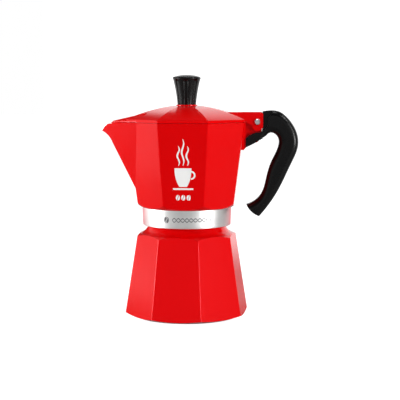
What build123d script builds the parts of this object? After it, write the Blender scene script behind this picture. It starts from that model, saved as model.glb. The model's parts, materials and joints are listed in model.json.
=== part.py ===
from build123d import *
import os
from math import atan, cos, pi, radians, sin

# Stovetop moka pot. Millimetres, +Z up, origin on the pot's axis at the standing face.
# The spout points to -X and the handle to +X.

os.makedirs("parts", exist_ok=True)

# ---------------------------------------------------------------- driving dimensions
SIDES = 8
HALF_FACET = 180 / SIDES
FLAT = cos(radians(HALF_FACET))  # facet distance divided by corner radius
UP = (Align.CENTER, Align.CENTER, Align.MIN)

boiler_turn = -6.4  # the boiler's facets stop a little out of line with the collector's
foot_r = 55.9
foot_z = 3.0
shoulder_r = 45.0
shoulder_z = 71.2
rim_z = 91.0
neck_r = 34.6
neck_bore = 31.3
wall = 3.0
wall_corner = wall / FLAT
facet_soft = 1.6

thread_pitch = 3.0
thread_low = 82.6
thread_depth = 1.0
male_crest = neck_r + thread_depth
female_crest = male_crest + 0.3
female_root = female_crest + thread_depth

collar_low = 80.8
collar_top = 96.5
base_r = 45.8
base_z = 101.5
mouth_r = 55.5
mouth_z = 171.85
floor_z = 101.0

hinge_x = 62.4
hinge_z = 172.0
web_half = 3.5
lid_low = 172.1
lid_ceiling = 184.4
knob_low = 186.8


# ---------------------------------------------------------------- shared shapes
def faceted(z_low, r_low, z_high, r_high, turn=0.0, soft=0.0):
    """Octagonal frustum given by its corner radii at two heights, its long edges rounded."""
    with BuildPart() as frustum:
        with BuildSketch(Plane.XY.offset(z_low)):
            RegularPolygon(r_low, SIDES, rotation=HALF_FACET + turn)
        with BuildSketch(Plane.XY.offset(z_high)):
            RegularPolygon(r_high, SIDES, rotation=HALF_FACET + turn)
        loft(ruled=True)
        if soft:
            level = frustum.edges().group_by(Axis.Z)
            fillet(level[1], soft)
    return frustum.part


def turned(points):
    """Solid of revolution about the pot's axis from (radius, height) points."""
    with BuildPart() as body:
        with BuildSketch(Plane.XZ):
            with BuildLine():
                Polyline(*points, close=True)
            make_face()
        revolve(axis=Axis.Z)
    return body.part


def plane_through(a, b, c):
    """Plane through three points, with its normal pointing up."""
    a, b, c = Vector(*a), Vector(*b), Vector(*c)
    normal = (b - a).cross(c - a)
    if normal.Z < 0:
        normal = normal * -1
    return Plane(origin=a, x_dir=b - a, z_dir=normal)


def thread(root_r, crest_r, z_low, turns):
    """Helical ridge from a root radius to a crest radius, sunk a little into the root."""
    sink = 0.3 if crest_r > root_r else -0.3
    with BuildPart() as ridge:
        with BuildLine():
            Helix(thread_pitch, turns * thread_pitch, root_r, center=(0, 0, z_low))
        with BuildSketch(Plane.XZ):
            with BuildLine():
                Polyline(
                    (root_r - sink, z_low - 0.9),
                    (crest_r, z_low - 0.35),
                    (crest_r, z_low + 0.35),
                    (root_r - sink, z_low + 0.9),
                    close=True,
                )
            make_face()
        sweep(is_frenet=True)
    return ridge.part


def rod(plane, low, high, radius, mode=Mode.ADD):
    """Round bar along a plane's normal, between two distances from the plane."""
    with Locations(plane.offset(low)):
        Cylinder(radius, high - low, align=UP, mode=mode)


def hexagon_bar(plane, low, high, across_flats):
    """Hexagonal bar along a plane's normal."""
    with BuildSketch(plane.offset(low)) as outline:
        RegularPolygon(across_flats / 2, 6, major_radius=False)
    extrude(outline.sketch, amount=high - low)


# ---------------------------------------------------------------- boiler
boiler_slope = (shoulder_r - foot_r) / (shoulder_z - foot_z)


def boiler_corner(z):
    """Corner radius of the boiler's octagon at a height."""
    return foot_r + boiler_slope * (z - foot_z)


boiler_facets = faceted(
    0, boiler_corner(0), rim_z, boiler_corner(rim_z), boiler_turn, facet_soft
)
boiler_inside = faceted(
    0, boiler_corner(0) - wall_corner, 92, boiler_corner(92) - wall_corner, boiler_turn
)
neck_thread = thread(neck_r, male_crest, thread_low, 2.5)

with BuildPart() as boiler_hollow:
    add(boiler_inside)
    with BuildSketch(Plane.XZ):
        with BuildLine():
            Line((0, 4), (44, 4))
            ThreePointArc((44, 4), (50.5, 6.5), (53.4, 12))
            Line((53.4, 12), (53.4, 61.9))
            Line((53.4, 61.9), (39.5, 69.9))
            ThreePointArc((39.5, 69.9), (34.2, 72.6), (neck_bore, 76.5))
            Line((neck_bore, 76.5), (neck_bore, 92))
            Line((neck_bore, 92), (0, 92))
            Line((0, 92), (0, 4))
        make_face()
    revolve(axis=Axis.Z, mode=Mode.INTERSECT)

valve_z = 50.0
valve_angle = radians(90 + boiler_turn)
valve_lean = atan(-boiler_slope * FLAT)
valve_out = boiler_corner(valve_z) * FLAT
valve_plane = Plane(
    origin=(valve_out * cos(valve_angle), valve_out * sin(valve_angle), valve_z),
    x_dir=(-sin(valve_angle), cos(valve_angle), 0),
    z_dir=(
        cos(valve_angle) * cos(valve_lean),
        sin(valve_angle) * cos(valve_lean),
        sin(valve_lean),
    ),
)
valve_shank_r = 4.0

with BuildPart() as boiler:
    add(boiler_facets)
    with BuildSketch(Plane.XZ):
        with BuildLine():
            Polyline((0, 0), (48.0, 0), (56.6, 3.4), (56.6, 65.0), (41.4, 73.2))
            ThreePointArc((41.4, 73.2), (36.7, 76.1), (neck_r, 80.0))
            Polyline((neck_r, 80.0), (neck_r, rim_z - 0.6), (neck_r - 0.6, rim_z))
            Polyline((neck_r - 0.6, rim_z), (0, rim_z), (0, 0))
        make_face()
    revolve(axis=Axis.Z, mode=Mode.INTERSECT)
    add(neck_thread)
    add(boiler_hollow.part, mode=Mode.SUBTRACT)
    rod(valve_plane, -8, 2, valve_shank_r, Mode.SUBTRACT)
boiler.part.label = "boiler"
export_step(boiler.part, "parts/boiler.step")

# ---------------------------------------------------------------- safety valve
flange_low = 0.8
flange_high = 4.0
cap_high = 5.4
seat = -3.0
chamber_r = 2.7
pin_r = 0.95

with BuildPart() as valve_body:
    hexagon_bar(valve_plane, flange_low, flange_high, 10.5)
    rod(valve_plane, -7.0, flange_low, valve_shank_r)
    rod(valve_plane, -7.0, seat, 1.2, Mode.SUBTRACT)
    rod(valve_plane, seat, flange_high, chamber_r, Mode.SUBTRACT)
    for side in (0, 90):
        vent = valve_plane.rotated((0, 0, side)).offset(2.4)
        rod(Plane(origin=vent.origin, z_dir=vent.x_dir), -7, 7, 0.6, Mode.SUBTRACT)
valve_body.part.label = "safety_valve_body"
export_step(valve_body.part, "parts/safety_valve_body.step")

with BuildPart() as valve_washer:
    rod(valve_plane, 0, flange_low, 6.3)
    rod(valve_plane, 0, flange_low, valve_shank_r, Mode.SUBTRACT)
valve_washer.part.label = "safety_valve_washer"
export_step(valve_washer.part, "parts/safety_valve_washer.step")

with BuildPart() as valve_nut:
    hexagon_bar(valve_plane, -wall - 2.8, -wall, 12.0)
    rod(valve_plane, -wall - 2.8, -wall, valve_shank_r, Mode.SUBTRACT)
valve_nut.part.label = "safety_valve_nut"
export_step(valve_nut.part, "parts/safety_valve_nut.step")

with BuildPart() as valve_cap:
    rod(valve_plane, flange_high, cap_high, 4.2)
    chamfer(valve_cap.edges().filter_by(GeomType.CIRCLE).group_by(SortBy.DISTANCE)[-1], 0.5)
    rod(valve_plane, flange_high, cap_high, pin_r + 0.08, Mode.SUBTRACT)
valve_cap.part.label = "safety_valve_cap"
export_step(valve_cap.part, "parts/safety_valve_cap.step")

with BuildPart() as valve_pin:
    rod(valve_plane, seat + 0.3, seat + 1.3, 2.3)
    rod(valve_plane, seat + 1.3, cap_high + 1.6, pin_r)
    rod(valve_plane, cap_high + 0.4, cap_high + 1.8, 1.7)
valve_pin.part.label = "safety_valve_pin"
export_step(valve_pin.part, "parts/safety_valve_pin.step")

spring_low = seat + 1.3 + 0.25
spring_high = flange_high - 0.25
spring_wire = 0.22
spring_r = 1.75
spring_pitch = (spring_high - spring_low) / 5

with BuildPart() as valve_spring:
    with BuildLine() as coil:
        Helix(
            spring_pitch,
            spring_high - spring_low,
            spring_r,
            center=valve_plane.offset(spring_low).origin,
            direction=valve_plane.z_dir,
        )
    with BuildSketch(Plane(origin=coil.line @ 0, z_dir=coil.line % 0)):
        Circle(spring_wire)
    sweep(is_frenet=True)
valve_spring.part.label = "safety_valve_spring"
export_step(valve_spring.part, "parts/safety_valve_spring.step")

# ---------------------------------------------------------------- coffee funnel
flange_z = rim_z + 0.3
basket_r = 30.6
sheet = 1.0
basket_floor = 67.5
throat_z = 58.0
stem_r = 5.0
stem_low = 9.0

with BuildPart() as funnel:
    with BuildSketch(Plane.XZ):
        with BuildLine():
            Polyline(
                (stem_r - sheet - 0.6, stem_low),
                (stem_r - 0.6, stem_low),
                (stem_r, throat_z - 1),
                (stem_r + 2.5, throat_z + 1),
                (basket_r - 1.5, basket_floor - 1.2),
                (basket_r, basket_floor + 0.6),
                (basket_r, flange_z),
                (neck_r - 1.6, flange_z),
                (neck_r - 1.6, flange_z + sheet),
                (basket_r - sheet, flange_z + sheet),
                (basket_r - sheet, basket_floor),
                (stem_r + 1.5, throat_z + 2),
                (stem_r - sheet, throat_z - 1),
                close=True,
            )
        make_face()
    revolve(axis=Axis.Z)
funnel.part.label = "filter_funnel"
export_step(funnel.part, "parts/filter_funnel.step")


def sieve_holes(rings, spacing):
    """Places of a sieve's holes: one in the middle and rings of six more each."""
    places = [(0, 0)]
    for ring in range(1, rings + 1):
        for step in range(6 * ring):
            turn = 2 * pi * step / (6 * ring)
            places.append((ring * spacing * cos(turn), ring * spacing * sin(turn)))
    return places


strainer_z = basket_floor + 0.1
with BuildPart() as strainer:
    with BuildSketch(Plane.XY.offset(strainer_z)):
        Circle(basket_r - sheet)
        with Locations(*sieve_holes(5, 4.8)):
            Circle(0.9, mode=Mode.SUBTRACT)
    extrude(amount=0.8)
strainer.part.label = "funnel_strainer"
export_step(strainer.part, "parts/funnel_strainer.step")

# ---------------------------------------------------------------- gasket and filter plate
gasket_low = flange_z + sheet + 0.3
gasket_high = gasket_low + 2.8
gasket_r = 32.7

with BuildPart() as gasket:
    with BuildSketch(Plane.XY.offset(gasket_low)):
        Circle(gasket_r)
        Circle(27.5, mode=Mode.SUBTRACT)
    extrude(amount=gasket_high - gasket_low)
    chamfer(gasket.edges(), 0.4)
gasket.part.label = "gasket"
export_step(gasket.part, "parts/gasket.step")

with BuildPart() as filter_plate:
    with BuildSketch(Plane.XY.offset(gasket_high)):
        Circle(gasket_r - 0.7)
        with Locations(*sieve_holes(5, 4.8)):
            Circle(0.9, mode=Mode.SUBTRACT)
    extrude(amount=0.8)
filter_plate.part.label = "filter_plate"
export_step(filter_plate.part, "parts/filter_plate.step")

# ---------------------------------------------------------------- collector
collector_slope = (mouth_r - base_r) / (mouth_z - base_z)


def collector_corner(z):
    """Corner radius of the collector's octagon at a height."""
    return base_r + collector_slope * (z - base_z)


seat_z = gasket_high + 0.8 + 0.3
spout_foot = 114.0
spout_root = (-41.0, 31.5)
nose_x = -75.3
nose_z = 164.3
nose_half = 3.4


def spout_side(side, inset):
    """Plane of one side of the spout, moved inwards by a wall thickness."""
    corner = collector_corner(spout_foot)
    root = (spout_root[0], side * spout_root[1], mouth_z)
    foot = (
        -corner * cos(radians(HALF_FACET)),
        side * corner * sin(radians(HALF_FACET)),
        spout_foot,
    )
    nose = (nose_x, side * nose_half, nose_z)
    return plane_through(root, foot, nose).offset(inset)


with BuildPart() as spout_block:
    with BuildSketch(Plane.XZ):
        with BuildLine():
            Polyline((-75.3, 164.9), (-75.0, 163.9))
            ThreePointArc((-75.0, 163.9), (-68.9, 159.7), (-65.0, 153.6))
            Polyline((-65.0, 153.6), (-43.8, spout_foot), (-30, spout_foot))
            Polyline((-30, spout_foot), (-30, mouth_z), (-66.5, mouth_z))
            ThreePointArc((-66.5, mouth_z), (-71.5, 169.4), (-75.3, 164.9))
        make_face()
    extrude(amount=60, both=True)
    split(bisect_by=spout_side(-1, 0), keep=Keep.TOP)
    split(bisect_by=spout_side(1, 0), keep=Keep.TOP)

with BuildPart() as spout_channel:
    with BuildSketch(Plane.XZ):
        with BuildLine():
            Polyline((-80, 180), (-80, 167.0), (-75.3, 165.1))
            ThreePointArc((-75.3, 165.1), (-67.7, 161.1), (-63.0, 154.3))
            Polyline((-63.0, 154.3), (-43.0, spout_foot + 3.2), (-30, spout_foot + 3.2))
            Polyline((-30, spout_foot + 3.2), (-30, 180), (-80, 180))
        make_face()
    extrude(amount=60, both=True)
    split(bisect_by=spout_side(-1, 2.0), keep=Keep.TOP)
    split(bisect_by=spout_side(1, 2.0), keep=Keep.TOP)

collector_facets = faceted(
    collar_top - 1,
    collector_corner(collar_top - 1),
    mouth_z,
    collector_corner(mouth_z),
    soft=facet_soft,
)
collector_inside = faceted(
    collar_top,
    collector_corner(collar_top) - wall_corner,
    mouth_z + 1,
    collector_corner(mouth_z + 1) - wall_corner,
)
collar_thread = thread(female_root, female_crest, thread_low - 1 + thread_pitch / 2, 2.0)

with BuildPart() as collector_shell:
    add(collector_facets)
    with BuildSketch(Plane.XZ):
        with BuildLine():
            Line((0, collar_top - 1), (39.6, collar_top - 1))
            Line((39.6, collar_top - 1), (39.6, collar_top))
            ThreePointArc((39.6, collar_top), (42.7, 98.1), (base_r, base_z))
            Polyline((base_r, base_z), (50, 106.5), (60, 120), (60, 180), (0, 180))
            Line((0, 180), (0, collar_top - 1))
        make_face()
    revolve(axis=Axis.Z, mode=Mode.INTERSECT)

with BuildPart() as collector_hollow:
    add(collector_inside)
    with BuildSketch(Plane.XZ):
        with BuildLine():
            Line((0, floor_z), (34, floor_z))
            ThreePointArc((34, floor_z), (39.6, 103.2), (43.5, 109))
            Polyline((43.5, 109), (60, 140), (60, 180), (0, 180), (0, floor_z))
        make_face()
    revolve(axis=Axis.Z, mode=Mode.INTERSECT)

collar = turned(
    [
        (0, collar_low),
        (38.6, collar_low),
        (39.0, collar_low + 0.4),
        (39.6, collar_top - 0.5),
        (39.6, collar_top),
        (0, collar_top + 0.5),
    ]
)
under_collar = turned(
    [
        (0, collar_low - 1),
        (female_root, collar_low - 1),
        (female_root, rim_z + 0.6),
        (gasket_r + 0.6, rim_z + 0.6),
        (gasket_r + 0.6, seat_z),
        (26, seat_z),
        (7, seat_z + 1.6),
        (0, seat_z + 1.6),
    ]
)

column_foot_r = 6.0
lug_x = 52.3
lug_low = 147.0
web_low = (66.2, 161.3)

screw_point = Vector(64.0, 0, 155.84)
screw_dir = Vector(-0.537, 0, 0.843)
screw_plane = Plane(origin=screw_point, x_dir=(0, 1, 0), z_dir=screw_dir)
screw_r = 2.0
pin_shaft = 1.6
pin_plane = Plane(origin=(hinge_x, 0, hinge_z), x_dir=(1, 0, 0), z_dir=(0, 1, 0))

with BuildPart() as collector:
    add(collector_shell.part)
    add(collar)
    with BuildSketch(Plane.XZ):
        with BuildLine():
            Polyline(
                (40, lug_low + 2),
                (lug_x - 2, lug_low),
                (lug_x, lug_low + 2),
                (lug_x, mouth_z),
                (40, mouth_z),
                close=True,
            )
        make_face()
    extrude(amount=7.3, both=True)
    with BuildSketch(Plane.XZ):
        with BuildLine():
            Polyline((45, 147.9), web_low, (hinge_x + 4.2, hinge_z))
            ThreePointArc(
                (hinge_x + 4.2, hinge_z), (hinge_x, hinge_z + 4.2), (hinge_x - 3.6, hinge_z + 2.2)
            )
            Polyline((hinge_x - 3.6, hinge_z + 2.2), (56.0, hinge_z + 0.4), (lug_x, mouth_z))
            Polyline((lug_x, mouth_z), (45, mouth_z), (45, 147.9))
        make_face()
    extrude(amount=web_half, both=True)
    add(spout_block.part)
    add(collector_hollow.part, mode=Mode.SUBTRACT)
    add(spout_channel.part, mode=Mode.SUBTRACT)
    add(under_collar, mode=Mode.SUBTRACT)
    add(collar_thread)
    rod(Plane.XY, seat_z, floor_z + 1, column_foot_r, Mode.SUBTRACT)
    rod(pin_plane, -10, 10, pin_shaft, Mode.SUBTRACT)
    rod(screw_plane, 0, 12.5, screw_r, Mode.SUBTRACT)
collector.part.label = "collector"
export_step(collector.part, "parts/collector.step")

# ---------------------------------------------------------------- coffee column
column_top = 157.0
with BuildPart() as column:
    with BuildSketch(Plane.XZ):
        with BuildLine():
            Line((4.2, floor_z - 2.6), (column_foot_r, floor_z - 2.6))
            Line((column_foot_r, floor_z - 2.6), (column_foot_r, floor_z))
            Line((column_foot_r, floor_z), (11, floor_z))
            ThreePointArc((11, floor_z), (7.9, 107), (6.9, 114))
            Line((6.9, 114), (5.8, column_top - 2))
            ThreePointArc((5.8, column_top - 2), (5.1, column_top - 0.6), (3.6, column_top))
            Polyline((3.6, column_top), (0, column_top), (0, column_top - 1.8))
            Line((0, column_top - 1.8), (4.2, column_top - 3))
            Line((4.2, column_top - 3), (4.2, floor_z - 2.6))
        make_face()
    revolve(axis=Axis.Z)
    with Locations((0, 0, column_top - 9)):
        Box(3.4, 20, 10, mode=Mode.SUBTRACT)
column.part.label = "coffee_column"
export_step(column.part, "parts/coffee_column.step")

# ---------------------------------------------------------------- lid
beak_tip = (-64.3, 172.9)
beak_tip_half = 11.0
beak_root = (-39.5, 33.0)
beak_top = (-36.0, 179.5)
beak_shoulder = (-35.0, 24.0, 178.9)


def octagon_dome(flat_r, low, rim, middle, crown):
    """Eight curved facets over an octagon, given by one facet's section."""
    with BuildPart() as dome:
        for facet in range(SIDES // 2):
            turn = radians(45 * facet)
            section = Plane(
                origin=(0, 0, 0),
                x_dir=(cos(turn), sin(turn), 0),
                z_dir=(sin(turn), -cos(turn), 0),
            )
            with BuildSketch(section):
                with BuildLine():
                    Polyline((0, low), (flat_r, low), (flat_r, rim))
                    ThreePointArc((flat_r, rim), middle, crown)
                    Polyline(crown, (0, crown[1]), (0, low))
                make_face()
                mirror(about=Plane.YZ)
            extrude(amount=60, both=True, mode=Mode.INTERSECT if facet else Mode.ADD)
    return dome.part


def beak(inset):
    """Lid over the spout: a flat strip sloping down to the tip, with a slope on either side."""
    edge = inset / 2
    half = beak_tip_half - edge
    with BuildPart() as roof:
        with BuildSketch(Plane.XY.offset(lid_low - (1 if inset else 0))):
            with BuildLine():
                Polyline(
                    (-28, -8),
                    (beak_root[0] + edge, -beak_root[1] + 2 * edge),
                    (beak_tip[0] + 2 * edge, -half),
                    (beak_tip[0] + 2 * edge, half),
                    (beak_root[0] + edge, beak_root[1] - 2 * edge),
                    (-28, 8),
                    close=True,
                )
            make_face()
        extrude(amount=12)
        strip = plane_through(
            (beak_top[0], -5, beak_top[1]),
            (beak_top[0], 5, beak_top[1]),
            (beak_tip[0], 0, beak_tip[1]),
        )
        split(bisect_by=strip.offset(-inset), keep=Keep.BOTTOM)
        for side in (-1, 1):
            slope = plane_through(
                (beak_root[0], side * beak_root[1], 173.5),
                (beak_shoulder[0], side * beak_shoulder[1], beak_shoulder[2]),
                (beak_tip[0], side * beak_tip_half, beak_tip[1]),
            )
            split(bisect_by=slope.offset(-inset), keep=Keep.BOTTOM)
    return roof.part


lid_outer = octagon_dome(51.4, lid_low, 174.5, (37.0, 180.2), (8.8, knob_low - 0.6))
lid_inner = octagon_dome(49.4, lid_low - 1, 173.0, (36.0, 178.4), (8.8, lid_ceiling))
beak_outer = beak(0)
beak_inner = beak(1.6)

tab_top = 180.5
tab_end = 67.5
tab_half = 7.2
ear_gap = 4.0
ear_left = 57.8
ear_low = 168.85
lid_hole = 2.3

with BuildPart() as lid:
    add(lid_outer)
    add(beak_outer)
    with BuildSketch(Plane.XZ):
        with BuildLine():
            Line((30, tab_top), (tab_end - 2.5, tab_top))
            ThreePointArc((tab_end - 2.5, tab_top), (66.8, 179.8), (tab_end, tab_top - 2.5))
            Line((tab_end, tab_top - 2.5), (tab_end, ear_low))
            ThreePointArc((tab_end, ear_low), (62.65, ear_low - 4.85), (ear_left, ear_low))
            Polyline((ear_left, ear_low), (53.2, 171.2), (53.2, lid_low), (30, lid_low), (30, tab_top))
        make_face()
    extrude(amount=tab_half, both=True)
    with BuildSketch(Plane.XZ):
        with BuildLine():
            Polyline((70, 160), (70, 184), (47, 184), (51.7, 174.7), (51.7, 160), close=True)
        make_face()
    extrude(amount=ear_gap, both=True, mode=Mode.SUBTRACT)
    rod(Plane.XY, knob_low - 3, knob_low, 9.2)
    add(lid_inner, mode=Mode.SUBTRACT)
    add(beak_inner, mode=Mode.SUBTRACT)
    rod(Plane.XY, lid_ceiling - 3, knob_low + 1, lid_hole, Mode.SUBTRACT)
    rod(pin_plane, -10, 10, pin_shaft + 0.08, Mode.SUBTRACT)
lid.part.label = "lid"
export_step(lid.part, "parts/lid.step")

with BuildPart() as hinge_pin:
    rod(pin_plane, -tab_half - 0.5, tab_half + 0.5, pin_shaft)
    rod(pin_plane, tab_half + 0.3, tab_half + 1.4, 2.6)
    rod(pin_plane, -tab_half - 1.4, -tab_half - 0.3, 2.6)
    rings = hinge_pin.edges().filter_by(GeomType.CIRCLE).group_by(Axis.Y)
    chamfer(rings[0] + rings[-1], 0.6)
hinge_pin.part.label = "hinge_pin"
export_step(hinge_pin.part, "parts/hinge_pin.step")

# ---------------------------------------------------------------- knob
knob_foot_r = 8.3
knob_head_r = 12.3
knob_edge = 210.2
knob_top = 213.0
insert_r = 4.0
knob_screw_r = 1.95
flute_r = 3.2
flute_lean = 9.0
flute_middle = (11.9, knob_low + 9.5)
flute_half = 10.5

with BuildPart() as knob:
    with BuildSketch(Plane.XZ):
        with BuildLine():
            Line((0, knob_low), (knob_foot_r, knob_low))
            ThreePointArc((knob_foot_r, knob_low), (9.65, knob_low + 11.5), (12.0, 209.2))
            ThreePointArc((12.0, 209.2), (knob_head_r, knob_edge), (11.6, 211.2))
            ThreePointArc((11.6, 211.2), (6.4, 212.6), (1.0, knob_top))
            Polyline((1.0, knob_top), (0, knob_top), (0, knob_low))
        make_face()
    revolve(axis=Axis.Z)
    flute_end = (
        flute_middle[0] + flute_half * sin(radians(flute_lean)),
        0,
        flute_middle[1] + flute_half * cos(radians(flute_lean)),
    )
    with PolarLocations(0, SIDES):
        with Locations(Location((flute_middle[0], 0, flute_middle[1]), (0, flute_lean, 0))):
            Cylinder(flute_r, 2 * flute_half, mode=Mode.SUBTRACT)
        with Locations(flute_end):
            Sphere(flute_r, mode=Mode.SUBTRACT)
    rod(Plane.XY, knob_low, knob_low + 9, insert_r, Mode.SUBTRACT)
knob.part.label = "knob"
export_step(knob.part, "parts/knob.step")

with BuildPart() as knob_insert:
    rod(Plane.XY, knob_low, knob_low + 9, insert_r)
    rod(Plane.XY, knob_low, knob_low + 8, knob_screw_r, Mode.SUBTRACT)
knob_insert.part.label = "knob_insert"
export_step(knob_insert.part, "parts/knob_insert.step")

with BuildPart() as knob_washer:
    rod(Plane.XY, lid_ceiling - 0.8, lid_ceiling, 5.0)
    rod(Plane.XY, lid_ceiling - 0.8, lid_ceiling, lid_hole, Mode.SUBTRACT)
knob_washer.part.label = "knob_washer"
export_step(knob_washer.part, "parts/knob_washer.step")

with BuildPart() as knob_screw:
    rod(Plane.XY, lid_ceiling - 3.2, lid_ceiling - 0.8, 3.8)
    rod(Plane.XY, lid_ceiling - 0.8, knob_low + 7, knob_screw_r)
    with Locations((0, 0, lid_ceiling - 3.2)):
        Box(8, 0.9, 2.0, mode=Mode.SUBTRACT)
knob_screw.part.label = "knob_screw"
export_step(knob_screw.part, "parts/knob_screw.step")

# ---------------------------------------------------------------- handle
handle_half = 8.2
fin_half = 3.4
arm_end = lug_x + 0.1
recess_r = 9.5

with BuildPart() as handle:
    with BuildSketch(Plane.XZ):
        with BuildLine():
            Spline(
                (66.9, 181.1),
                (74.5, 182.0),
                (82.0, 180.8),
                (88.2, 176.2),
                (93.8, 169.2),
                (97.7, 160.3),
                (98.3, 151.5),
                (92.4, 135.4),
                (80.8, 111.3),
                (64.6, 88.6),
            )
            ThreePointArc((64.6, 88.6), (58.0, 92.6), (53.0, 99.1))
            Spline(
                (53.0, 99.1),
                (59.6, 102.0),
                (65.6, 108.0),
                (70.2, 122.0),
                (75.0, 137.4),
                (79.9, 147.8),
                (80.4, 158.4),
                (75.6, 162.4),
                (70.4, 160.0),
            )
            Polyline((70.4, 160.0), (59.7, 153.1), (arm_end, 149.5), (arm_end, 157.4))
            Polyline((arm_end, 157.4), (55.6, 160.2), (62.2, 163.1), (66.9, 165.5))
            Line((66.9, 165.5), (66.9, 181.1))
        make_face()
    extrude(amount=handle_half, both=True)
    long_edges = handle.edges().filter_by(GeomType.BSPLINE)
    fillet(long_edges, 5.4)
    for side in (-1, 1):
        cut_plane = Plane.XZ.offset(side * (fin_half + 6))
        with BuildSketch(cut_plane):
            with Locations((hinge_x, hinge_z)):
                Circle(recess_r)
            with BuildLine():
                Polyline(
                    (hinge_x, hinge_z),
                    (hinge_x + recess_r, hinge_z),
                    (71.6, 174.8),
                    (76.0, 180.0),
                    (76.0, 184.0),
                    (50, 184.0),
                    (50, hinge_z),
                    close=True,
                )
            make_face()
        extrude(amount=6, both=True, mode=Mode.SUBTRACT)
    with BuildSketch(Plane.XZ):
        with BuildLine():
            Polyline(
                (45, 147.65),
                (66.45, 161.2),
                (66.85, hinge_z),
                (66.85, 190),
                (45, 190),
                close=True,
            )
        make_face()
    extrude(amount=web_half + 0.15, both=True, mode=Mode.SUBTRACT)
    rod(screw_plane, -3, 1.6, 3.9, Mode.SUBTRACT)
    rod(screw_plane, 1, 6, screw_r + 0.2, Mode.SUBTRACT)
handle.part.label = "handle"
export_step(handle.part, "parts/handle.step")

with BuildPart() as handle_screw:
    rod(screw_plane, -0.6, 1.6, 3.6)
    rod(screw_plane, 1.6, 12.5, screw_r)
    with Locations(screw_plane.offset(-0.6)):
        Box(8, 0.9, 2.0, mode=Mode.SUBTRACT)
handle_screw.part.label = "handle_screw"
export_step(handle_screw.part, "parts/handle_screw.step")
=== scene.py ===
import json
from math import cos, pi, radians, sin

import bpy
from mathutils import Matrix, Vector
from mathutils.bvhtree import BVHTree


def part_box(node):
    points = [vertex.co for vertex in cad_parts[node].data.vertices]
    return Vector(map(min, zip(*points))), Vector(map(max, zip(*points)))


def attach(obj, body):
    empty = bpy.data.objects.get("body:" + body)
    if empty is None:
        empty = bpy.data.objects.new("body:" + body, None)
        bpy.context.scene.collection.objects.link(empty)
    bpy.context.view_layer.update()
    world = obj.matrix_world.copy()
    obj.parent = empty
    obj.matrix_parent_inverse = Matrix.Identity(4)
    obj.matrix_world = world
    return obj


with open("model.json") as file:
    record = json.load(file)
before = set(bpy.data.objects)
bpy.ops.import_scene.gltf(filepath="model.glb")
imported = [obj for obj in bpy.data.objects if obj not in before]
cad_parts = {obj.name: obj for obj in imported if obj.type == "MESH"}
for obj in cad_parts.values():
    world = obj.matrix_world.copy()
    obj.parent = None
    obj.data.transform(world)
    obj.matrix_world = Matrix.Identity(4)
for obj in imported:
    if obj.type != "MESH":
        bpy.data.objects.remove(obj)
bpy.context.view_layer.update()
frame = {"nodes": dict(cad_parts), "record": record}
nodes = frame["nodes"]

MM = 0.001

# ---------------------------------------------------------------- where the metal is bare
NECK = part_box("boiler")[1].z - 9.6 * MM  # the boiler's enamel ends where the neck begins
BOILER_FLOOR = 60 * MM  # faces that look up below this are the boiler's bare floor
COLLAR_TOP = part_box("collector")[0].z + 15.9 * MM  # bare collar below, red enamel above
COLLECTOR_FLOOR = 130 * MM  # faces that look up below this are the collector's bare floor
LIP_ROOT = -65.5 * MM  # the spout's edge is bare beyond this x
LIP_START = -66.5 * MM  # the edge falls outwards from this x
LIP_HEIGHT = 170.8 * MM  # the edge's height where it starts to fall
LIP_CURVE = 92.0  # the edge falls by this times the square of the way out, in metres
LID_BARE = 49 * MM  # the lid's underside is bare within this radius
INWARD = -0.004  # a face looks at the axis when its place times its normal is below this

RED = (0.72, 0.0004, 0.0008, 1)
RED_DEEP = (0.67, 0.0002, 0.0005, 1)
RED_SHINE = (1.0, 0.14, 0.18, 1.0)
ALUMINIUM = (0.93, 0.93, 0.92, 1)
ALUMINIUM_DULL = (0.80, 0.80, 0.79, 1)
TURNED = (0.02, 0.02, 1.0)  # marks stretched round the axis, as a lathe leaves them


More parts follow.
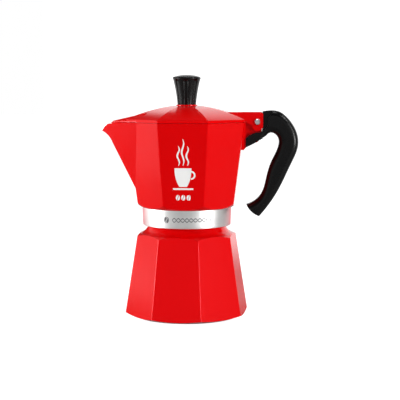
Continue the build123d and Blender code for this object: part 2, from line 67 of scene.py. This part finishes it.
# ---------------------------------------------------------------- node graphs
class Graph:
    """A material's node graph, with the piece's own point and normal at hand."""

    def __init__(self, name):
        self.material = bpy.data.materials.new(name)
        self.material.use_nodes = True
        self.tree = self.material.node_tree
        self.shader = self.tree.nodes["Principled BSDF"]
        coordinates = self.add("TexCoord")
        self.point = coordinates.outputs["Object"]
        self.normal = coordinates.outputs["Normal"]

    def add(self, kind):
        return self.tree.nodes.new("ShaderNode" + kind)

    def put(self, socket, value):
        """Feeds a socket from another socket or from a constant."""
        if isinstance(value, bpy.types.NodeSocket):
            self.tree.links.new(value, socket)
        else:
            socket.default_value = value

    def math(self, operation, a, b=0.0):
        node = self.add("Math")
        node.operation = operation
        self.put(node.inputs[0], a)
        self.put(node.inputs[1], b)
        return node.outputs[0]

    def times(self, a, b):
        return self.math("MULTIPLY", a, b)

    def either(self, *masks):
        result = masks[0]
        for mask in masks[1:]:
            result = self.math("MAXIMUM", result, mask)
        return result

    def parts(self, vector):
        node = self.add("SeparateXYZ")
        self.put(node.inputs[0], vector)
        return node.outputs

    def above(self, value, edge, softness):
        """0 below the edge, 1 above it, blended over a softness."""
        node = self.add("MapRange")
        node.interpolation_type = "SMOOTHSTEP"
        self.put(node.inputs["Value"], value)
        self.put(node.inputs["From Min"], edge - softness)
        self.put(node.inputs["From Max"], edge + softness)
        return node.outputs["Result"]

    def below(self, value, edge, softness):
        """1 below the edge, 0 above it, blended over a softness."""
        return self.math("SUBTRACT", 1.0, self.above(value, edge, softness))

    def mix(self, factor, a, b, colour=True):
        node = self.add("Mix")
        node.data_type = "RGBA" if colour else "FLOAT"
        first, second = (6, 7) if colour else (2, 3)  # the sockets of that data type
        self.put(node.inputs[0], factor)
        self.put(node.inputs[first], a)
        self.put(node.inputs[second], b)
        return node.outputs[2 if colour else 0]

    def noise(self, scale, detail=2.0, stretch=None):
        node = self.add("TexNoise")
        node.inputs["Scale"].default_value = scale
        node.inputs["Detail"].default_value = detail
        place = self.point
        if stretch:
            mapping = self.add("Mapping")
            mapping.inputs["Scale"].default_value = stretch
            self.put(mapping.inputs["Vector"], self.point)
            place = mapping.outputs[0]
        self.put(node.inputs["Vector"], place)
        return node.outputs["Fac"]

    def between(self, value, low, high):
        """A 0 to 1 value spread over another range."""
        node = self.add("MapRange")
        self.put(node.inputs["Value"], value)
        node.inputs["To Min"].default_value = low
        node.inputs["To Max"].default_value = high
        return node.outputs["Result"]

    def bump(self, height, distance, strength):
        node = self.add("Bump")
        node.inputs["Distance"].default_value = distance
        node.inputs["Strength"].default_value = strength
        self.put(node.inputs["Height"], height)
        self.put(self.shader.inputs["Normal"], node.outputs[0])

    def constants(self, **values):
        for name, value in values.items():
            self.shader.inputs[name.replace("_", " ")].default_value = value

    def colour(self, value):
        self.put(self.shader.inputs["Base Color"], value)

    def roughness(self, value):
        self.put(self.shader.inputs["Roughness"], value)

    def metallic(self, value):
        self.put(self.shader.inputs["Metallic"], value)


# ---------------------------------------------------------------- masks, 1 where metal is bare
def facing_axis(graph):
    """1 on walls that face the pot's axis, which are the insides, and 0 outside."""
    x, y, _ = graph.parts(graph.point)
    nx, ny, _ = graph.parts(graph.normal)
    along = graph.math("ADD", graph.times(x, nx), graph.times(y, ny))
    return graph.below(along, INWARD, 0.001)


def boiler_bare(graph):
    z = graph.parts(graph.point)[2]
    nz = graph.parts(graph.normal)[2]
    under = graph.below(nz, -0.3, 0.04)
    neck = graph.above(z, NECK, 0.0002)
    low = graph.below(z, BOILER_FLOOR, 0.001)
    inside_floor = graph.times(graph.above(nz, 0.5, 0.1), low)
    return graph.either(under, neck, inside_floor, facing_axis(graph))


def collector_bare(graph):
    x, _, z = graph.parts(graph.point)
    nz = graph.parts(graph.normal)[2]
    collar = graph.below(z, COLLAR_TOP, 0.0001)
    low = graph.below(z, COLLECTOR_FLOOR, 0.001)
    inside_floor = graph.times(graph.above(nz, 0.6, 0.05), low)
    beyond = graph.below(x, LIP_ROOT, 0.001)
    lip = graph.times(graph.above(nz, 0.2, 0.05), beyond)
    way_out = graph.math("SUBTRACT", LIP_START, x)
    fall = graph.times(graph.times(way_out, way_out), LIP_CURVE)
    edge_height = graph.math("SUBTRACT", LIP_HEIGHT, fall)
    over_edge = graph.math("SUBTRACT", z, edge_height)
    rim = graph.times(graph.above(over_edge, 0.0, 0.0003), beyond)
    return graph.either(collar, inside_floor, lip, rim, facing_axis(graph))


def lid_bare(graph):
    x, y, _ = graph.parts(graph.point)
    nz = graph.parts(graph.normal)[2]
    under = graph.below(nz, -0.6, 0.05)
    radius = graph.math("SQRT", graph.math("ADD", graph.times(x, x), graph.times(y, y)))
    return graph.times(under, graph.below(radius, LID_BARE, 0.0005))


# ---------------------------------------------------------------- materials
def enamel(name, bare_mask):
    """Glossy red enamel on cast aluminium, with the metal bare where the mask is 1."""
    graph = Graph(name)
    bare = bare_mask(graph)
    red = graph.mix(graph.noise(scale=26.0, detail=3.0), RED_DEEP, RED)
    cast = graph.mix(graph.noise(scale=160.0, detail=4.0), ALUMINIUM_DULL, ALUMINIUM)
    graph.colour(graph.mix(bare, red, cast))
    turning = graph.noise(scale=900.0, stretch=TURNED)
    satin = graph.between(turning, 0.26, 0.44)
    gloss = graph.between(graph.noise(scale=70.0, detail=3.0), 0.13, 0.2)
    graph.roughness(graph.mix(bare, gloss, satin, colour=False))
    graph.metallic(bare)
    graph.constants(Specular_Tint=RED_SHINE, IOR=1.45)
    peel = graph.times(graph.noise(scale=420.0), 0.25)
    graph.bump(graph.mix(bare, peel, turning, colour=False), distance=0.06 * MM, strength=0.5)
    return graph.material


def metal(name, colour, dull, rough=(0.25, 0.4), stretch=None):
    graph = Graph(name)
    graph.colour(graph.mix(graph.noise(scale=220.0, detail=4.0), dull, colour))
    marks = graph.noise(scale=1400.0, detail=3.0, stretch=stretch)
    graph.roughness(graph.between(marks, *rough))
    graph.constants(Metallic=1.0)
    graph.bump(marks, distance=0.03 * MM, strength=0.4)
    return graph.material


def moulded(name, colour, light, rough, coat=0.0, specular=0.35):
    graph = Graph(name)
    graph.colour(graph.mix(graph.noise(scale=90.0, detail=3.0), colour, light))
    graph.roughness(graph.between(graph.noise(scale=240.0, detail=4.0), *rough))
    graph.constants(Coat_Weight=coat, Coat_Roughness=0.15, Specular_IOR_Level=specular)
    graph.bump(graph.noise(scale=700.0, detail=3.0), distance=0.03 * MM, strength=0.35)
    return graph.material


materials = {
    "boiler_enamel": enamel("boiler_red_enamel", boiler_bare),
    "collector_enamel": enamel("collector_red_enamel", collector_bare),
    "lid_enamel": enamel("lid_red_enamel", lid_bare),
    "cast_aluminium": metal("cast_aluminium", ALUMINIUM, ALUMINIUM_DULL),
    "sheet_aluminium": metal(
        "spun_aluminium", (0.83, 0.83, 0.84, 1), (0.7, 0.7, 0.71, 1), stretch=TURNED
    ),
    "brass": metal("turned_brass", (0.80, 0.58, 0.26, 1), (0.62, 0.42, 0.17, 1)),
    "steel": metal("steel", (0.72, 0.72, 0.73, 1), (0.55, 0.55, 0.56, 1), rough=(0.2, 0.32)),
    "gasket_rubber": moulded(
        "gasket_rubber", (0.62, 0.59, 0.52, 1), (0.7, 0.67, 0.6, 1), rough=(0.6, 0.8)
    ),
    "fibre": moulded("red_fibre", (0.3, 0.05, 0.03, 1), (0.36, 0.08, 0.05, 1), rough=(0.7, 0.85)),
    "black_plastic": moulded(
        "black_bakelite",
        (0.0015, 0.0015, 0.0016, 1),
        (0.003, 0.003, 0.0032, 1),
        rough=(0.24, 0.32),
        specular=0.2,
    ),
}
print_white = moulded(
    "white_print", (0.85, 0.85, 0.84, 1), (0.9, 0.9, 0.89, 1), rough=(0.4, 0.55)
)
print_grey = moulded("grey_print", (0.1, 0.1, 0.11, 1), (0.14, 0.14, 0.15, 1), rough=(0.4, 0.55))

for part in frame["record"]["subparts"]:
    cad = nodes[part["node"]]
    cad.data.materials.clear()
    cad.data.materials.append(materials[part["material_slot"]])


# ---------------------------------------------------------------- printed marks
PRINT_RISE = 0.06 * MM
PRINT_FILM = 0.08 * MM
BEFORE_THE_POT = -0.2  # y of a place in front of every surface


def surface_finder(node):
    """A function giving the y of a node's front surface under a point (x, z)."""
    mesh = nodes[node].data
    tree = BVHTree.FromPolygons([v.co for v in mesh.vertices], [p.vertices for p in mesh.polygons])

    def front(x, z):
        hit = tree.ray_cast(Vector((x, BEFORE_THE_POT, z)), Vector((0, 1, 0)))[0]
        return hit.y

    return front


front_of_collector = surface_finder("collector")


def spread(low, high, count):
    return [low + (high - low) * k / (count - 1) for k in range(count)]


def on_surface(x, z):
    return (x, front_of_collector(x, z) - PRINT_RISE, z)


def film(name, vertices, faces, material):
    """A thin printed film that rides on the collector."""
    mesh = bpy.data.meshes.new(name)
    mesh.from_pydata(vertices, [], faces)
    piece = bpy.data.objects.new(name, mesh)
    bpy.context.scene.collection.objects.link(piece)
    thickness = piece.modifiers.new("film", "SOLIDIFY")
    thickness.thickness = PRINT_FILM
    thickness.offset = 0.0
    mesh.materials.append(material)
    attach(piece, "collector")
    return piece


def printed(name, shapes, material):
    """A film of upright shapes, each of them rows of (z, left x, right x)."""
    columns = 5
    vertices, faces = [], []
    for rows in shapes:
        first = len(vertices)
        for z, left, right in rows:
            for x in spread(left, right, columns):
                vertices.append(on_surface(x, z))
        for r in range(len(rows) - 1):
            for k in range(columns - 1):
                a = first + r * columns + k
                faces.append((a, a + 1, a + columns + 1, a + columns))
    return film(name, vertices, faces, material)


def printed_along(name, lines, material):
    """A film of level lines, each of them rows of (x, lower z, upper z)."""
    vertices, faces = [], []
    for rows in lines:
        first = len(vertices)
        for x, low, high in rows:
            for z in (low, high):
                vertices.append(on_surface(x, z))
        for r in range(len(rows) - 1):
            a = first + 2 * r
            faces.append((a, a + 2, a + 3, a + 1))
    return film(name, vertices, faces, material)


def steam(middle_x, low, high):
    """A ribbon that waves and thins to a point at both ends."""
    swing = 0.9 * MM
    widest = 0.75 * MM
    rows = []
    for z in spread(low, high, 25):
        t = (z - low) / (high - low)
        middle = middle_x + swing * sin(3.0 * pi * t)
        half = widest * sin(pi * (0.06 + 0.9 * t)) ** 0.7
        rows.append((z, middle - half, middle + half))
    return rows


def cup(low, high, half_top):
    """A coffee cup's bowl in outline."""
    foot = 0.45  # the foot's width as a share of the brim's
    roundness = 2.4
    rows = []
    for z in spread(low, high, 17):
        t = (z - low) / (high - low)
        half = half_top * (foot + (1 - foot) * (1 - (1 - t) ** roundness))
        rows.append((z, -half, half))
    return rows


def bar(low, high, left, right):
    return [(z, left, right) for z in spread(low, high, 3)]


def ring_half(middle_x, middle_z, outer, inner, side):
    """The cup's ear: half a ring to one side, as an upper and a lower arc."""
    steps = 12
    arcs = []
    for direction in (-1, 1):
        rows = []
        for k in range(steps + 1):
            z = direction * outer * k / steps
            far = (outer**2 - min(z**2, outer**2)) ** 0.5
            near = (inner**2 - min(z**2, inner**2)) ** 0.5
            rows.append((middle_z + z, middle_x + side * near, middle_x + side * far))
        arcs.append(rows)
    return arcs


def bean(middle_x, middle_z, half_x, half_z, gap):
    """A coffee bean: an ellipse split by a waving line."""
    wave = 0.28  # the split's swing as a share of the half width
    left, right = [], []
    for z in spread(-half_z, half_z, 21):
        half = half_x * (1 - (z / half_z) ** 2) ** 0.5
        split = wave * half_x * sin(pi * z / half_z)
        left.append((middle_z + z, middle_x - half, middle_x + max(split - gap, -half)))
        right.append((middle_z + z, middle_x + min(split + gap, half), middle_x + half))
    return [left, right]


def flourish(left, right, middle_z, phase):
    """A thin line that waves along the collar, less and less to the right."""
    half_width = 0.38 * MM
    swing = 1.7 * MM
    half_waves = 9
    fading = 0.25
    rows = []
    for x in spread(left, right, 81):
        t = (x - left) / (right - left)
        z = middle_z + swing * sin(half_waves * pi * t + phase) * (1 - fading * t)
        rows.append((x, z - half_width, z + half_width))
    return rows


CUP_LOW = 118 * MM
CUP_HIGH = 134 * MM
CUP_HALF = 7.2 * MM
SAUCER_HALF = 8.6 * MM
STEAM_LOW = CUP_HIGH + 2.2 * MM
BEAN_MIDDLE = 108.5 * MM
front_shapes = [cup(CUP_LOW, CUP_HIGH, CUP_HALF)]
front_shapes += ring_half(CUP_HALF * 0.93, CUP_HIGH - 6 * MM, 3.9 * MM, 2.5 * MM, side=1)
front_shapes.append(bar(CUP_LOW - 2.6 * MM, CUP_LOW - 1.2 * MM, -SAUCER_HALF, SAUCER_HALF))
for offset in (-3.8, 0.0, 3.8):
    steam_high = CUP_HIGH + (25 - 1.6 * abs(offset)) * MM
    front_shapes.append(steam(offset * MM, STEAM_LOW, steam_high))
for offset in (-4.6, 0.0, 4.6):
    front_shapes += bean(offset * MM, BEAN_MIDDLE, 1.7 * MM, 2.5 * MM, gap=0.25 * MM)
printed("front_cup_mark", front_shapes, print_white)

BAND_MIDDLE = 88.5 * MM
collar_bean = bean(-15 * MM, BAND_MIDDLE, 2.0 * MM, 2.9 * MM, gap=0.3 * MM)
printed("collar_bean_mark", collar_bean, print_grey)
braid = [flourish(-10 * MM, 23 * MM, BAND_MIDDLE, phase) for phase in (0.0, pi)]
printed_along("collar_flourish", braid, print_grey)


# ---------------------------------------------------------------- stage, lights, camera
def floor():
    half = 6.0
    glow_near = 0.92
    mesh = bpy.data.meshes.new("floor")
    corners = [(-half, -half, 0), (half, -half, 0), (half, half, 0), (-half, half, 0)]
    mesh.from_pydata(corners, [], [(0, 1, 2, 3)])
    piece = bpy.data.objects.new("floor", mesh)
    bpy.context.scene.collection.objects.link(piece)
    graph = Graph("pale_floor")
    graph.colour(graph.mix(graph.noise(scale=3.0), (0.4, 0.4, 0.4, 1), (0.43, 0.43, 0.43, 1)))
    graph.constants(Roughness=0.9, Specular_IOR_Level=0.1, Emission_Color=(1, 1, 1, 1))
    seen = graph.add("LightPath").outputs["Is Camera Ray"]
    behind = graph.above(graph.parts(graph.point)[1], 0.5, 0.25)
    glow = graph.either(graph.times(seen, glow_near), behind)
    graph.put(graph.shader.inputs["Emission Strength"], glow)
    mesh.materials.append(graph.material)


def softbox(name, place, target, width, height, watts):
    data = bpy.data.lights.new(name, "AREA")
    data.shape = "RECTANGLE"
    data.size = width
    data.size_y = height
    data.energy = watts
    lamp = bpy.data.objects.new(name, data)
    lamp.location = place
    lamp.rotation_euler = (Vector(target) - Vector(place)).to_track_quat("-Z", "Y").to_euler()
    bpy.context.scene.collection.objects.link(lamp)


def studio_world():
    """White where the camera looks past the pot; on the pot, bright low behind, dim in front."""
    behind_light = 1.25
    front_light = 0.9
    room_light = 0.05
    world = bpy.data.worlds.new("studio")
    bpy.context.scene.world = world
    world.use_nodes = True
    tree = world.node_tree
    background = tree.nodes["Background"]
    background.inputs["Color"].default_value = (1, 1, 1, 1)

    def put(socket, value):
        if isinstance(value, bpy.types.NodeSocket):
            tree.links.new(value, socket)
        else:
            socket.default_value = value

    def ramp(value, low, high, to_low, to_high):
        node = tree.nodes.new("ShaderNodeMapRange")
        node.interpolation_type = "SMOOTHSTEP"
        for socket, given in zip(node.inputs, (value, low, high, to_low, to_high)):
            put(socket, given)
        return node.outputs["Result"]

    def math(operation, a, b):
        node = tree.nodes.new("ShaderNodeMath")
        node.operation = operation
        put(node.inputs[0], a)
        put(node.inputs[1], b)
        return node.outputs[0]

    direction = tree.nodes.new("ShaderNodeTexCoord").outputs["Generated"]
    axes = tree.nodes.new("ShaderNodeSeparateXYZ")
    tree.links.new(direction, axes.inputs[0])
    x, y, z = axes.outputs
    behind = math("MULTIPLY", ramp(y, 0.1, 0.6, 0.0, 1.0), ramp(z, 0.54, 0.61, 1.0, 0.0))
    behind = math("MULTIPLY", behind, ramp(x, -0.25, -0.17, 0.0, behind_light))
    level = ramp(math("ABSOLUTE", z, 0.0), 0.1, 0.4, front_light, 0.0)
    front = math("MULTIPLY", ramp(y, -0.5, 0.1, 1.0, 0.0), level)
    room = math("ADD", math("ADD", behind, front), room_light)
    seen = tree.nodes.new("ShaderNodeLightPath").outputs["Is Camera Ray"]
    tree.links.new(math("MAXIMUM", room, seen), background.inputs["Strength"])


def camera():
    distance = 1.0
    height = 0.207
    azimuth = radians(4.1)
    aim_right = 11.7 * MM
    aim_up = 102.1 * MM
    data = bpy.data.cameras.new("camera")
    data.sensor_width = 36.0
    data.lens = 101.5
    eye = bpy.data.objects.new("camera", data)
    eye.location = (distance * sin(azimuth), -distance * cos(azimuth), height)
    target = Vector((aim_right * cos(azimuth), aim_right * sin(azimuth), aim_up))
    eye.rotation_euler = (target - eye.location).to_track_quat("-Z", "Y").to_euler()
    bpy.context.scene.collection.objects.link(eye)
    bpy.context.scene.camera = eye


# Each softbox: name, place, target, width, height, watts.
POT_MIDDLE = (0, 0, 0.1)
POT_WAIST = (0, 0, 0.08)
floor()
softbox("left_key", (-1.45, -0.3, 0.25), POT_MIDDLE, 0.5, 0.5, 19)
softbox("right_key", (1.25, -0.8, 0.2), POT_MIDDLE, 0.45, 0.45, 14)
softbox("left_panel", (-0.55, 0.27, 0.3), (0, 0.27, 0.3), 0.6, 0.6, 0.9)
softbox("right_spot", (0.85, -0.25, 0.95), POT_MIDDLE, 0.12, 0.12, 3)
softbox("left_glint", (-1.2, -0.6, 0.65), POT_WAIST, 0.2, 0.3, 3)
softbox("right_glint", (1.2, -0.6, 0.65), POT_WAIST, 0.2, 0.3, 3)
softbox("top_softbox", (0.0, 0.1, 1.6), POT_MIDDLE, 0.7, 0.7, 8)
studio_world()
camera()
bpy.context.scene.view_settings.view_transform = "Standard"
